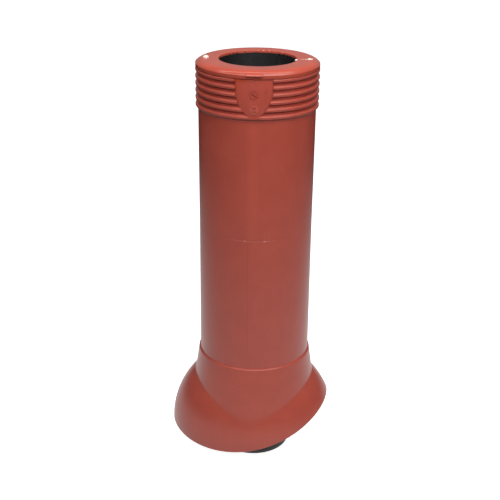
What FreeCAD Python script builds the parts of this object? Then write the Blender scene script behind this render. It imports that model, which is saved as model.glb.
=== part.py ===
import FreeCAD, Part
import Sketcher
import os

# Insulated roof vent pipe for a soil stack.
# A black duct runs the full height. A red outer shell stands round it, with a
# ribbed collar at the top and a flared skirt over the roof seal at the bottom.
# Foam fills the space between the two, and a ring closes that space on top.
# The origin is the middle of the duct's lower end, and +Z runs up the pipe.
# -X is down the roof and +X is up the roof. The shield is on the -Y side.

SIZES = [
    ("total_height", 590.0, "duct's lower end to the ring's top face"),
    ("duct_radius", 55.0, "outside of the duct's spigot, a 110 mm soil pipe"),
    ("spigot_length", 150.0, "height of the straight spigot, below the foam"),
    ("duct_taper", 5.0, "length of the taper above the spigot"),
    ("duct_step", 0.4, "how far that taper draws in, to the duct in the foam"),
    ("duct_wall", 2.7, "wall of the duct"),
    ("lead_in_length", 5.0, "length of the taper on the duct's lower end"),
    ("lead_in_depth", 1.4, "how far that taper draws in"),
    ("shell_radius", 80.0, "outside of the shell, a 160 mm pipe"),
    ("shell_wall", 3.2, "wall of the shell, pipe and skirt alike"),
    ("shell_waist", 0.55, "mould draft, how far the shell narrows to its seam"),
    ("seam_rise", 197.0, "crease to the seam where the two drafts meet"),
    ("collar_step", 0.3, "how far the collar stands out of the pipe"),
    ("collar_margin", 2.1, "collar's wall below the last rib"),
    ("rib_count", 6, "ribs round the collar"),
    ("rib_pitch", 9.5, "middle of one rib to the next"),
    ("rib_width", 7.6, "height of a rib at its root"),
    ("rib_crest", 3.4, "height of a rib's crest"),
    ("rib_depth", 3.2, "how far a rib stands out"),
    ("ring_gap", 2.7, "shell's upper end to the first rib"),
    ("shield_width", 47.8, "width of the shield on the front of the collar"),
    ("shield_gap", 5.2, "shell's upper end to the shield"),
    ("shield_length", 50.8, "shield's upper edge to its tip"),
    ("shield_side_round", 44.0, "radius of the shield's curved sides"),
    ("shield_tip_round", 9.0, "radius of the shield's tip"),
    ("shield_depth", 1.9, "how far the shield stands out of the collar"),
    ("rib_end_gap", 0.6, "gap between a rib's end and the shield"),
    ("mark_radius", 6.0, "round mould mark on the shield"),
    ("mark_height", 0.35, "how far that mark stands out"),
    ("mark_rise", 11.4, "shield's tip to the mark's middle"),
    ("neck_height", 161.0, "height of the crease between pipe and neck"),
    ("neck_step", 2.0, "how far the neck's shoulder stands out of the pipe"),
    ("neck_ease", 1.2, "chamfer on the shoulder"),
    ("neck_taper", 8.1, "half angle of the neck's cone in degrees"),
    ("lobe_drop", 127.7, "crease to the middle of the skirt's dome"),
    ("lobe_reach", 43.5, "how far the dome stands out of the pipe, up and down the roof"),
    ("lobe_side", 21.3, "how far the dome stands out of the pipe, across the roof"),
    ("lobe_rise", 126.2, "dome's half height"),
    ("rim_radius", 300.6, "arc of the rim, seen from across the roof"),
    ("rim_shift", 63.0, "how far down the roof the rim's lowest point lies"),
    ("rim_drop", 132.1, "crease to the rim's lowest point"),
    ("ring_plate", 3.0, "thickness of the ring's flat plate"),
    ("ring_edge", 6.0, "ring's top face to the underside of its outer edge"),
    ("ring_reach", 3.0, "how far the ring stands out of the collar"),
    ("ring_crown", 14.3, "radius of the ring's rounded outer part"),
    ("crown_width", 11.0, "width of that rounded part, seen from above"),
    ("ring_fit", 0.2, "clearance of the ring's flange in the shell"),
    ("flange_wall", 2.0, "wall of the ring's flange inside the shell"),
    ("flange_depth", 8.0, "depth of that flange below the shell's upper end"),
    ("tab_width", 21.5, "width of the tab on the front of the ring"),
    ("tab_reach", 2.2, "how far the tab stands out of the ring"),
    ("tab_drop", 0.8, "how far the tab hangs below the ring's edge"),
    ("tab_lip", 0.6, "height of the tab's outer edge"),
    ("tab_start", 3.1, "ring's top face to the root of the tab's slope"),
    ("tab_root", 0.7, "gap between the collar and the tab's root"),
    ("fill_inset", 6.75, "shell's bore to the middle of a filling hole"),
    ("fill_radius", 3.0, "filling holes in the ring"),
    ("bead_lap", 1.1, "how far the foam bead spreads past the left hole"),
    ("bead_height", 3.6, "height of that bead"),
    ("bead_crown", 0.55, "width of the bead's top as a share of its foot"),
    ("crater_lap", 1.9, "how far the foam crater spreads past the right hole"),
    ("crater_height", 1.1, "height of that crater"),
    ("crater_slope", 2.0, "how far the crater draws in to its top"),
    ("crater_hollow", 1.5, "radius of the crater's hollow"),
    ("crater_depth", 1.8, "ring's top face to the bottom of the hollow"),
    ("spare", 5.0, "how far a cutting tool runs past what it cuts"),
]

RING_TOP = "sizes.total_height"
PLATE_UNDER = "(sizes.total_height - sizes.ring_plate)"
SHELL_TOP = "(sizes.total_height - sizes.ring_edge)"
COLLAR_RADIUS = "(sizes.shell_radius + sizes.collar_step)"
RIB_RADIUS = "(%s + sizes.rib_depth)" % COLLAR_RADIUS
SHIELD_RADIUS = "(%s + sizes.shield_depth)" % COLLAR_RADIUS
FIRST_RIB = "(%s - sizes.ring_gap - sizes.rib_width / 2)" % SHELL_TOP
RIB_SPAN = "((sizes.rib_count - 1) * sizes.rib_pitch)"
COLLAR_END = "(%s - %s - sizes.rib_width / 2 - sizes.collar_margin)" % (FIRST_RIB, RIB_SPAN)
SHIELD_TOP = "(%s - sizes.shield_gap)" % SHELL_TOP
SHIELD_TIP = "(%s - sizes.shield_length)" % SHIELD_TOP
BORE_RADIUS = "(sizes.shell_radius - sizes.shell_waist - sizes.shell_wall)"
NECK_RADIUS = "(sizes.shell_radius + sizes.neck_step)"
DOME_HEIGHT = "(sizes.neck_height - sizes.lobe_drop)"
DOME_LENGTH = "(sizes.shell_radius + sizes.lobe_reach)"
DOME_WIDTH = "(sizes.shell_radius + sizes.lobe_side)"
RIM_LOW = "(sizes.neck_height - sizes.rim_drop)"
DUCT_BORE = "(sizes.duct_radius - sizes.duct_wall)"
DUCT_WAIST = "(sizes.duct_radius - sizes.duct_step)"
RING_RADIUS = "(%s + sizes.ring_reach)" % COLLAR_RADIUS
RING_FLAT = "(%s - sizes.crown_width)" % RING_RADIUS
FLANGE_RADIUS = "(%s - sizes.ring_fit)" % BORE_RADIUS
FLANGE_BORE = "(%s - sizes.flange_wall)" % FLANGE_RADIUS
FLANGE_END = "(%s - sizes.flange_depth)" % SHELL_TOP
FILL_PLACE = "(%s - sizes.fill_inset)" % BORE_RADIUS
CHAMFER_SHARE = 0.9
SLICE_ANGLES = range(-9, 60, 9)


def make_sheet(doc):
    """The driving sizes, one named cell each."""
    sheet = doc.addObject("Spreadsheet::Sheet", "sizes")
    for row, (alias, value, note) in enumerate(SIZES, start=1):
        sheet.set("A%d" % row, alias)
        sheet.set("B%d" % row, str(value))
        sheet.set("C%d" % row, note)
        sheet.setAlias("B%d" % row, alias)
    doc.recompute()
    return sheet


def value_of(doc, expression):
    """The number that an expression on the sheet gives now."""
    result = doc.getObject("sizes").evalExpression(expression)
    return float(getattr(result, "Value", result))


def bind(item, **expressions):
    """Tie properties of an object to expressions on the sheet."""
    for name, expression in expressions.items():
        item.setExpression(name.replace("__", "."), expression)


def limited(size, wall):
    """A chamfer that never takes the whole of the wall it is cut in."""
    return "min(%s; %g * %s)" % (size, CHAMFER_SHARE, wall)


def cone_radius(start_radius, start_height, height):
    """Radius of the neck's cone at a height below its start."""
    fall = "((%s) - (%s))" % (start_height, height)
    return "(%s + %s * tan(sizes.neck_taper))" % (start_radius, fall)


def new_sketch(body, name, role):
    """A sketch on one of the body's own origin planes."""
    plane = [item for item in body.Origin.OriginFeatures if item.Role == role][0]
    sketch = body.newObject("Sketcher::SketchObject", name)
    sketch.AttachmentSupport = [(plane, "")]
    sketch.MapMode = "FlatFace"
    return sketch


def dimension(sketch, kind, first, second, expression):
    """A driving dimension whose value is an expression on the sheet."""
    value = value_of(sketch.Document, expression)
    index = sketch.addConstraint(Sketcher.Constraint(kind, *first, *second, value))
    sketch.setExpression("Constraints[%d]" % index, expression)


def pin(sketch, edge, end, point):
    """Fix an end of an edge by its two distances from the sketch's origin."""
    dimension(sketch, "DistanceX", (-1, 1), (edge, end), point[0])
    dimension(sketch, "DistanceY", (-1, 1), (edge, end), point[1])


def vector(doc, point):
    return FreeCAD.Vector(value_of(doc, point[0]), value_of(doc, point[1]), 0)


def outline(body, name, role, points, arc=None):
    """A closed sketch through points given as expressions.

    Its sides are straight, but the first is an arc where arc gives a point on it and its radius.
    """
    sketch = new_sketch(body, name, role)
    corners = [vector(body.Document, point) for point in points]
    count = len(points)
    for i in range(count):
        start, end = corners[i], corners[(i + 1) % count]
        side = Part.LineSegment(start, end)
        if arc and i == 0:
            side = Part.Arc(start, vector(body.Document, arc[0]), end)
        sketch.addGeometry(side, False)
    for i in range(count):
        sketch.addConstraint(Sketcher.Constraint("Coincident", i, 2, (i + 1) % count, 1))
        pin(sketch, i, 1, points[i])
    if arc:
        dimension(sketch, "Radius", (0,), (), arc[1])
    return sketch


def turn(body, name, sketch):
    """A full turn of a sketch about the pipe's axis."""
    feature = body.newObject("PartDesign::Revolution", name)
    feature.Profile = sketch
    feature.ReferenceAxis = (sketch, ["V_Axis"])
    feature.Angle = 360
    body.Document.recompute()
    return feature


def turned_body(doc, name, points):
    """A body made by turning one outline."""
    body = doc.addObject("PartDesign::Body", name)
    turn(body, name + "_turn", outline(body, name + "_outline", "XZ_Plane", points))
    return body


def padded_body(doc, name, sketch_maker, length, role="XZ_Plane", both_ways=False):
    """A body made by padding the sketch that sketch_maker draws."""
    body = doc.addObject("PartDesign::Body", name)
    pad = body.newObject("PartDesign::Pad", name + "_pad")
    pad.Profile = sketch_maker(body, name + "_outline", role)
    pad.Midplane = both_ways
    bind(pad, Length=length)
    doc.recompute()
    return body


def join(doc, name, items):
    result = doc.addObject("Part::MultiFuse", name)
    result.Shapes = items
    return result


def cut(doc, name, base, tool):
    result = doc.addObject("Part::Cut", name)
    result.Base = base
    result.Tool = tool
    return result


def overlap(doc, name, first, second):
    result = doc.addObject("Part::Common", name)
    result.Base = first
    result.Tool = second
    return result


def cylinder(doc, name, radius, height, bottom):
    """An upright cylinder on the pipe's axis."""
    item = doc.addObject("Part::Cylinder", name)
    bind(item, Radius=radius, Height=height, Placement__Base__z=bottom)
    return item


def stack(doc, name, slices):
    """A solid through elliptical slices, each given by its two radii and its height."""
    sections = []
    for radius_x, radius_y, height in slices:
        item = doc.addObject("Part::Ellipse", name + "_slice")
        bind(item, MajorRadius=radius_x, MinorRadius=radius_y, Placement__Base__z=height)
        sections.append(item)
    loft = doc.addObject("Part::Loft", name)
    loft.Sections = sections
    loft.Solid = True
    loft.Ruled = True
    return loft


def frustum(doc, name, low, high):
    """A cone cut off square, from one radius and height up to another."""
    item = doc.addObject("Part::Cone", name)
    bind(item, Radius1=low[0], Radius2=high[0], Height="%s - (%s)" % (high[1], low[1]))
    bind(item, Placement__Base__z=low[1])
    return item


def dome(doc, name, inset):
    """The skirt's dome in slices set by their angles up its half ellipse, smaller by the inset."""
    slices = []
    for angle in SLICE_ANGLES:
        radius_x = "(%s - %s) * cos(%d)" % (DOME_LENGTH, inset, angle)
        radius_y = "(%s - %s) * cos(%d)" % (DOME_WIDTH, inset, angle)
        rise = "(sizes.lobe_rise - %s) * sin(%d)" % (inset, angle)
        slices.append((radius_x, radius_y, "%s + %s" % (DOME_HEIGHT, rise)))
    return stack(doc, name, slices)


# The outer shell.

def neck(doc):
    """The neck's outside as a solid: a cone with an eased shoulder."""
    foot = (cone_radius(NECK_RADIUS, "sizes.neck_height", "0"), "0")
    ease = limited("sizes.neck_ease", "sizes.neck_step")
    shoulder = (NECK_RADIUS, "(sizes.neck_height - %s)" % ease)
    top = ("%s - %s" % (NECK_RADIUS, ease), "sizes.neck_height")
    return join(doc, "neck", [
        frustum(doc, "neck_cone", foot, shoulder),
        frustum(doc, "neck_shoulder", shoulder, top),
    ])


def pipe(doc):
    """The pipe's outside as a solid: two drafts that meet at the seam."""
    waist = "sizes.shell_radius - sizes.shell_waist"
    return stack(doc, "pipe", [
        ("sizes.shell_radius", "sizes.shell_radius", "sizes.neck_height"),
        (waist, waist, "sizes.neck_height + sizes.seam_rise"),
        ("sizes.shell_radius", "sizes.shell_radius", COLLAR_END),
    ])


def collar_blank(doc):
    """The collar's outside as a solid, with its ribs."""
    body = turned_body(doc, "collar", [
        ("0", COLLAR_END),
        (COLLAR_RADIUS, COLLAR_END),
        (COLLAR_RADIUS, SHELL_TOP),
        ("0", SHELL_TOP),
    ])
    add_ribs(body)
    return body


def rib_outline(body):
    """One rib in section: rooted in the wall, with sloping flanks and a flat crest."""
    root = "(sizes.shell_radius - sizes.shell_waist - sizes.shell_wall / 2)"
    right = [(RIB_RADIUS, "sizes.rib_crest"), (COLLAR_RADIUS, "sizes.rib_width"),
             (root, "sizes.rib_width")]
    above = [(radius, "%s + %s / 2" % (FIRST_RIB, width)) for radius, width in right]
    below = [(radius, "%s - %s / 2" % (FIRST_RIB, width)) for radius, width in right]
    return outline(body, "rib_outline", "XZ_Plane", above + below[::-1])


def add_ribs(body):
    """The collar's ribs: one turned rib, repeated down the collar."""
    rib = turn(body, "rib", rib_outline(body))
    pattern = body.newObject("PartDesign::LinearPattern", "ribs")
    pattern.Originals = [rib]
    pattern.Direction = (rib.Profile[0], ["V_Axis"])
    pattern.Reversed = True
    bind(pattern, Length=RIB_SPAN, Occurrences="sizes.rib_count")
    body.Tip = pattern
    body.Document.recompute()


def shield_outline(grow):
    """A maker for the shield's outline, wider all round by an expression."""
    def draw(body, name, role):
        doc = body.Document
        sketch = new_sketch(body, name, role)
        half = "(sizes.shield_width / 2 + %s)" % grow
        side = "(sizes.shield_side_round + %s)" % grow
        nose = "(sizes.shield_tip_round + %s)" % grow
        top = "(%s + %s)" % (SHIELD_TOP, grow)
        nose_height = "(%s + sizes.shield_tip_round)" % SHIELD_TIP
        draw_shield(sketch, value_of(doc, half), value_of(doc, side), value_of(doc, nose),
                    value_of(doc, top), value_of(doc, nose_height))
        sketch.addConstraint(Sketcher.Constraint("Coincident", 5, 2, 0, 1))
        sketch.addConstraint(Sketcher.Constraint("Coincident", 0, 2, 1, 1))
        for i in range(1, 5):
            sketch.addConstraint(Sketcher.Constraint("Tangent", i, 2, i + 1, 1))
        sketch.addConstraint(Sketcher.Constraint("Horizontal", 0))
        sketch.addConstraint(Sketcher.Constraint("Vertical", 1))
        sketch.addConstraint(Sketcher.Constraint("Vertical", 5))
        sketch.addConstraint(Sketcher.Constraint("Equal", 2, 4))
        sketch.addConstraint(Sketcher.Constraint("PointOnObject", 3, 3, -2))
        dimension(sketch, "DistanceX", (-1, 1), (0, 1), half)
        dimension(sketch, "DistanceX", (0, 2), (-1, 1), half)
        dimension(sketch, "DistanceY", (-1, 1), (0, 1), top)
        dimension(sketch, "DistanceY", (-1, 1), (3, 3), nose_height)
        dimension(sketch, "Radius", (2,), (), side)
        dimension(sketch, "Radius", (3,), (), nose)
        return sketch
    return draw


def draw_shield(sketch, half, side, nose, top, nose_height):
    """Flat top, straight flanks, curved sides and a round tip, all tangent."""
    reach = ((side - nose) ** 2 - (side - half) ** 2) ** 0.5
    share = nose / (side - nose)
    flank = nose_height + reach
    right_touch = FreeCAD.Vector((side - half) * share, nose_height - reach * share, 0)
    left_touch = FreeCAD.Vector(-right_touch.x, right_touch.y, 0)
    top_left, top_right = FreeCAD.Vector(-half, top, 0), FreeCAD.Vector(half, top, 0)
    low_left, low_right = FreeCAD.Vector(-half, flank, 0), FreeCAD.Vector(half, flank, 0)
    left_middle = on_arc(FreeCAD.Vector(side - half, flank, 0), low_left, left_touch)
    right_middle = on_arc(FreeCAD.Vector(half - side, flank, 0), right_touch, low_right)
    tip = FreeCAD.Vector(0, nose_height - nose, 0)
    sketch.addGeometry(Part.LineSegment(top_right, top_left), False)
    sketch.addGeometry(Part.LineSegment(top_left, low_left), False)
    sketch.addGeometry(Part.Arc(low_left, left_middle, left_touch), False)
    sketch.addGeometry(Part.Arc(left_touch, tip, right_touch), False)
    sketch.addGeometry(Part.Arc(right_touch, right_middle, low_right), False)
    sketch.addGeometry(Part.LineSegment(low_right, top_right), False)


def on_arc(centre, start, end):
    """The point of an arc half way from its start to its end."""
    middle = (start + end) * 0.5 - centre
    return centre + middle * ((start - centre).Length / middle.Length)


def mark_outline(body, name, role):
    """The round mould mark near the shield's tip."""
    doc = body.Document
    sketch = new_sketch(body, name, role)
    height = "(%s + sizes.mark_rise)" % SHIELD_TIP
    radius = value_of(doc, "sizes.mark_radius")
    circle = Part.Circle(vector(doc, ("0", height)), FreeCAD.Vector(0, 0, 1), radius)
    sketch.addGeometry(circle, False)
    sketch.addConstraint(Sketcher.Constraint("PointOnObject", 0, 3, -2))
    dimension(sketch, "DistanceY", (-1, 1), (0, 3), height)
    dimension(sketch, "Radius", (0,), (), "sizes.mark_radius")
    return sketch


def add_shield(doc, collar):
    """Clear the ribs away round the shield, then set the shield on the collar."""
    reach = "(%s + sizes.spare)" % RIB_RADIUS
    window = padded_body(doc, "shield_window", shield_outline("sizes.rib_end_gap"), reach)
    core = cylinder(doc, "collar_core", COLLAR_RADIUS, "sizes.total_height", "0")
    cleared = cut(doc, "collar_cleared", collar, cut(doc, "window_tool", window, core))
    blank = padded_body(doc, "shield_blank", shield_outline("0"), reach)
    face = cylinder(doc, "shield_face", SHIELD_RADIUS, "sizes.total_height", "0")
    mark_blank = padded_body(doc, "mark_blank", mark_outline, reach)
    mark_radius = "(%s + sizes.mark_height)" % SHIELD_RADIUS
    mark_face = cylinder(doc, "mark_face", mark_radius, "sizes.total_height", "0")
    shield = overlap(doc, "shield", blank, face)
    mark = overlap(doc, "mark", mark_blank, mark_face)
    return join(doc, "collar_shielded", [cleared, shield, mark])


def rim_outline(body, name, role):
    """What is cut away under the skirt: the rim is an arc across the roof."""
    half = "(%s + 2 * sizes.spare)" % DOME_LENGTH
    axis_z = "(%s + sizes.rim_radius)" % RIM_LOW
    left_z = "(%s - (sizes.rim_radius^2 - (%s - sizes.rim_shift)^2)^0.5)" % (axis_z, half)
    right_z = "(%s - (sizes.rim_radius^2 - (%s + sizes.rim_shift)^2)^0.5)" % (axis_z, half)
    floor = "(%s - sizes.lobe_rise - sizes.spare)" % DOME_HEIGHT
    corners = [("-1 * " + half, left_z), (half, right_z), (half, floor), ("-1 * " + half, floor)]
    lowest = ("-1 * sizes.rim_shift", RIM_LOW)
    return outline(body, name, role, corners, (lowest, "sizes.rim_radius"))


def shell_hollow(doc):
    """Everything inside the shell's wall: pipe bore, neck and dome."""
    inner_neck = "(%s - sizes.shell_wall)" % NECK_RADIUS
    step = "(sizes.neck_height - sizes.shell_wall)"
    foot = cone_radius(inner_neck, step, "-1 * sizes.spare")
    inside = frustum(doc, "neck_inside", (foot, "-1 * sizes.spare"), (inner_neck, step))
    bore = cylinder(doc, "shell_bore", BORE_RADIUS, "sizes.total_height", "0")
    return join(doc, "shell_hollow", [bore, inside, dome(doc, "dome_inside", "sizes.shell_wall")])


def outer_shell(doc):
    """Pipe, collar, shield, neck and two-lobed skirt, moulded in one."""
    collar = add_shield(doc, collar_blank(doc))
    whole = join(doc, "shell_outside", [collar, pipe(doc), neck(doc), dome(doc, "dome", "0")])
    across = "2 * (%s + sizes.spare)" % DOME_LENGTH
    below = padded_body(doc, "rim_tool", rim_outline, across, both_ways=True)
    trimmed = cut(doc, "shell_trimmed", whole, below)
    shell = cut(doc, "outer_shell", trimmed, shell_hollow(doc))
    doc.recompute()
    return shell


# The duct.

def inner_pipe(doc):
    """The duct: a tapered lower end, a straight spigot, then a slimmer run up to the ring."""
    return turned_body(doc, "inner_pipe", [
        (DUCT_BORE, "0"),
        ("sizes.duct_radius - %s" % limited("sizes.lead_in_depth", "sizes.duct_wall"), "0"),
        ("sizes.duct_radius", "sizes.lead_in_length"),
        ("sizes.duct_radius", "sizes.spigot_length"),
        (DUCT_WAIST, "sizes.spigot_length + sizes.duct_taper"),
        (DUCT_WAIST, PLATE_UNDER),
        (DUCT_BORE, PLATE_UNDER),
    ])


# The ring.

def tab_outline(body, name, role):
    """The tab in section: a slope out of the crown, a thin outer edge, a flat underside."""
    root = "-1 * (%s + sizes.tab_root)" % COLLAR_RADIUS
    front = "-1 * (%s + sizes.tab_reach)" % RING_RADIUS
    low = "(%s - sizes.tab_drop)" % SHELL_TOP
    return outline(body, name, role, [
        (root, low),
        (front, low),
        (front, "%s + sizes.tab_lip" % low),
        (root, "sizes.total_height - sizes.tab_start"),
    ])


def top_ring(doc):
    """The ring: a plate with a crowned edge, a flange in the shell, the tab, two filling holes."""
    turned = turned_body(doc, "ring_turned", [
        crown_point("sizes.crown_width"),
        crown_point("sizes.crown_width / 2"),
        (RING_FLAT, RING_TOP),
        (DUCT_BORE, RING_TOP),
        (DUCT_BORE, PLATE_UNDER),
        (FLANGE_BORE, PLATE_UNDER),
        (FLANGE_BORE, FLANGE_END),
        (FLANGE_RADIUS, FLANGE_END),
        (FLANGE_RADIUS, SHELL_TOP),
        (RING_RADIUS, SHELL_TOP),
    ])
    tab = padded_body(doc, "tab", tab_outline, "sizes.tab_width", role="YZ_Plane", both_ways=True)
    blank = join(doc, "ring_blank", [turned, tab])
    drills = [fill_drill(doc, side) for side in ("left", "right")]
    ring = cut(doc, "top_ring", blank, join(doc, "fill_drills", drills))
    doc.recompute()
    return ring


def crown_point(across):
    """A point on the ring's rounded outer part, so far across it from the flat."""
    drop = "(sizes.ring_crown - (sizes.ring_crown^2 - (%s)^2)^0.5)" % across
    return ("%s + %s" % (RING_FLAT, across), "%s - %s" % (RING_TOP, drop))


def fill_side(side):
    """Where a filling hole lies along X."""
    return "-1 * " + FILL_PLACE if side == "left" else FILL_PLACE


def fill_drill(doc, side):
    """The drill for one filling hole."""
    bottom = "%s - sizes.spare" % PLATE_UNDER
    length = "sizes.ring_plate + 2 * sizes.spare"
    drill = cylinder(doc, "drill_" + side, "sizes.fill_radius", length, bottom)
    bind(drill, Placement__Base__x=fill_side(side))
    return drill


# The foam.

def insulation(doc):
    """Foam cast between duct and shell, with what rose through the filling holes."""
    sleeve = turned_body(doc, "foam_sleeve", [
        (DUCT_WAIST, "sizes.neck_height"),
        (BORE_RADIUS, "sizes.neck_height"),
        (BORE_RADIUS, FLANGE_END),
        (FLANGE_BORE, FLANGE_END),
        (FLANGE_BORE, PLATE_UNDER),
        (DUCT_WAIST, PLATE_UNDER),
    ])
    stubs = [foam_stub(doc, side) for side in ("left", "right")]
    hollow = cylinder(doc, "crater_drill", "sizes.crater_hollow",
                      "sizes.crater_depth + sizes.crater_height + sizes.spare",
                      "sizes.total_height - sizes.crater_depth")
    bind(hollow, Placement__Base__x=fill_side("right"))
    whole = join(doc, "foam_whole", [sleeve, foam_bead(doc), foam_crater(doc)] + stubs)
    foam = cut(doc, "insulation", whole, hollow)
    doc.recompute()
    return foam


def foam_stub(doc, side):
    """Foam filling one hole in the ring, down to the foam below."""
    stub = cylinder(doc, "stub_" + side, "sizes.fill_radius", "2 * sizes.ring_plate",
                    "%s - sizes.ring_plate" % PLATE_UNDER)
    bind(stub, Placement__Base__x=fill_side(side))
    return stub


def foam_bead(doc):
    """A lump of foam on the left hole, seated on the ring."""
    spread = "(sizes.fill_radius + sizes.bead_lap)"
    cone = doc.addObject("Part::Cone", "bead")
    bind(cone, Radius1=spread, Radius2="%s * sizes.bead_crown" % spread)
    bind(cone, Height="sizes.bead_height")
    bind(cone, Placement__Base__x=fill_side("left"), Placement__Base__z=RING_TOP)
    return cone


def foam_crater(doc):
    """A low ring of foam round the right hole, seated on the ring."""
    cone = doc.addObject("Part::Cone", "crater_cone")
    spread = "sizes.fill_radius + sizes.crater_lap"
    bind(cone, Radius1=spread, Radius2="%s - sizes.crater_slope" % spread)
    bind(cone, Height="sizes.crater_height")
    bind(cone, Placement__Base__x=fill_side("right"), Placement__Base__z=RING_TOP)
    return cone


def check_document(doc):
    """Stop if any object failed to build."""
    doc.recompute()
    for item in doc.Objects:
        if "Invalid" in item.State or "Error" in item.State:
            raise RuntimeError("%s failed: %s" % (item.Name, item.State))


def export(part, node):
    """Check one sub-part and write it as a STEP file."""
    shape = part.Shape
    if shape.isNull() or not shape.isValid():
        raise RuntimeError("%s has no valid shape" % node)
    part.Label = node
    shape.exportStep("parts/%s.step" % node)
    box = shape.BoundBox
    print("%-12s solids %d volume %.1f cm3" % (node, len(shape.Solids), shape.Volume / 1000))
    print("   x %.1f %.1f y %.1f %.1f z %.1f %.1f" % (
        box.XMin, box.XMax, box.YMin, box.YMax, box.ZMin, box.ZMax))


def main():
    os.makedirs("parts", exist_ok=True)
    doc = FreeCAD.newDocument("roof_vent_pipe")
    make_sheet(doc)
    nodes = {
        "outer_shell": outer_shell(doc),
        "top_ring": top_ring(doc),
        "inner_pipe": inner_pipe(doc),
        "insulation": insulation(doc),
    }
    check_document(doc)
    for node, part in nodes.items():
        export(part, node)


main()
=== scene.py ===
# %% [markdown]
# # A roof vent pipe
# The object is an insulated vent pipe that stands on a roof. A black duct runs up its middle. A brick
# red shell stands round the duct, ribbed at the top and flared at the bottom, and foam fills the space
# between them. A red ring closes that space on top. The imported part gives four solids, and this lesson
# dresses each of them with a finer mesh and a real finish, then lights and frames the whole.

import math

import bpy
from mathutils import Matrix, Vector, noise


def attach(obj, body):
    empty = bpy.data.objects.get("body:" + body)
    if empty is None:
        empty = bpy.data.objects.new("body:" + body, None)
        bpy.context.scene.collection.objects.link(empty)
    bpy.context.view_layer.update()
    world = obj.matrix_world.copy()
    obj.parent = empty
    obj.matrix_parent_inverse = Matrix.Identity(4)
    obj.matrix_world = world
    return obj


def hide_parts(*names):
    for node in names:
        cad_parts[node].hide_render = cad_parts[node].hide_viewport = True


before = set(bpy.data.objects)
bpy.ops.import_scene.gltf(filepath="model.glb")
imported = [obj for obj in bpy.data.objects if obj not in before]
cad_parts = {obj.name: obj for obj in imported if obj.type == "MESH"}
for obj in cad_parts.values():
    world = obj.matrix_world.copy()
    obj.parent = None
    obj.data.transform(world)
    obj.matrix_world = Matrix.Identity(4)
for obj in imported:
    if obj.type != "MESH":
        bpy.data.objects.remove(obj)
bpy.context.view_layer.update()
MM = 0.001
print("nodes", sorted(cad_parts))

# %% [markdown]
# ## The camera
# The photograph was taken from a little above the pipe's top with a long lens. Its place was worked out
# from the ellipses of the ring and the shoulder, so it comes first: every later judgement is made
# through it. The camera is turned about its own axis, then pitched, then swung round the pipe.

# %% Camera
CAMERA_PLACE = Vector((66.4, -1267.4, 847.2)) * MM
CAMERA_PITCH = math.radians(22.845)
CAMERA_SWING = math.radians(3.346)
CAMERA_ROLL = math.radians(0.598)
SENSOR = 36.0
FOCAL_SHARE = 953.7 / 500


def add_camera():
    data = bpy.data.cameras.new("photo_camera")
    data.sensor_width = SENSOR
    data.lens = SENSOR * FOCAL_SHARE
    data.clip_end = 100
    camera = bpy.data.objects.new("photo_camera", data)
    bpy.context.scene.collection.objects.link(camera)
    swing = Matrix.Rotation(CAMERA_SWING, 4, "Z")
    pitch = Matrix.Rotation(math.pi / 2 - CAMERA_PITCH, 4, "X")
    roll = Matrix.Rotation(CAMERA_ROLL, 4, "Z")
    camera.matrix_world = Matrix.Translation(CAMERA_PLACE) @ swing @ pitch @ roll
    bpy.context.scene.camera = camera
    return camera


print("camera lens", round(add_camera().data.lens, 1))

# %% [markdown]
# ## Turning a wall
# Most of this object is round, so most of it can be made as on a lathe: a ring of edges is pulled along
# a profile, drawn out and in on its way. `turned` does that with a circle, one extrusion and one
# resize for each step, and bridges the last ring to the first when the wall is closed. `softened`
# rounds the profile's corners first, because no moulded edge is truly sharp.

# %% Helpers for turned walls
ROUND = 360


def alone(piece):
    """Select one object and nothing else."""
    bpy.ops.object.select_all(action="DESELECT")
    piece.select_set(True)
    bpy.context.view_layer.objects.active = piece


def softened(profile, steps=4):
    """Profile rows are (radius, height, rounding), all in millimetres."""
    points = []
    count = len(profile)
    for i, (radius, height, rounding) in enumerate(profile):
        here = Vector((radius, height))
        if rounding == 0:
            points.append(here)
            continue
        before = Vector(profile[i - 1][:2]) - here
        after = Vector(profile[(i + 1) % count][:2]) - here
        angle = before.angle(after)
        reach = rounding / math.tan(angle / 2)
        middle = here + (before.normalized() + after.normalized()).normalized() * (
            rounding / math.sin(angle / 2))
        first = here + before.normalized() * reach - middle
        last = here + after.normalized() * reach - middle
        turn = first.angle_signed(last)
        for step in range(steps + 1):
            points.append(middle + Matrix.Rotation(-turn * step / steps, 2) @ first)
    return [(point.x * MM, point.y * MM) for point in points]


def turned(name, profile, around=ROUND):
    """Pull a ring of edges along a closed profile and close the wall."""
    bpy.ops.object.select_all(action="DESELECT")
    radius, height = profile[0]
    bpy.ops.mesh.primitive_circle_add(vertices=around, radius=radius, location=(0, 0, height))
    piece = bpy.context.object
    piece.name = piece.data.name = name
    bpy.ops.object.transform_apply(location=True, rotation=True, scale=True)
    bpy.ops.object.mode_set(mode="EDIT")
    bpy.ops.mesh.select_all(action="SELECT")
    for new_radius, new_height in profile[1:] + profile[:1]:
        bpy.ops.mesh.extrude_edges_move(TRANSFORM_OT_translate={"value": (0, 0, new_height - height)})
        if abs(new_radius - radius) > 1e-7:
            share = new_radius / radius
            bpy.ops.transform.resize(value=(share, share, 1), center_override=(0, 0, new_height))
        radius, height = new_radius, new_height
    bpy.ops.mesh.select_all(action="SELECT")
    bpy.ops.mesh.remove_doubles(threshold=1e-5)
    bpy.ops.mesh.normals_make_consistent(inside=False)
    bpy.ops.object.mode_set(mode="OBJECT")
    return piece


def smooth(piece, degrees=35):
    alone(piece)
    bpy.ops.object.shade_smooth_by_angle(angle=math.radians(degrees))


def joined(piece, others):
    alone(piece)
    for other in others:
        other.select_set(True)
    bpy.ops.object.join()


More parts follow.
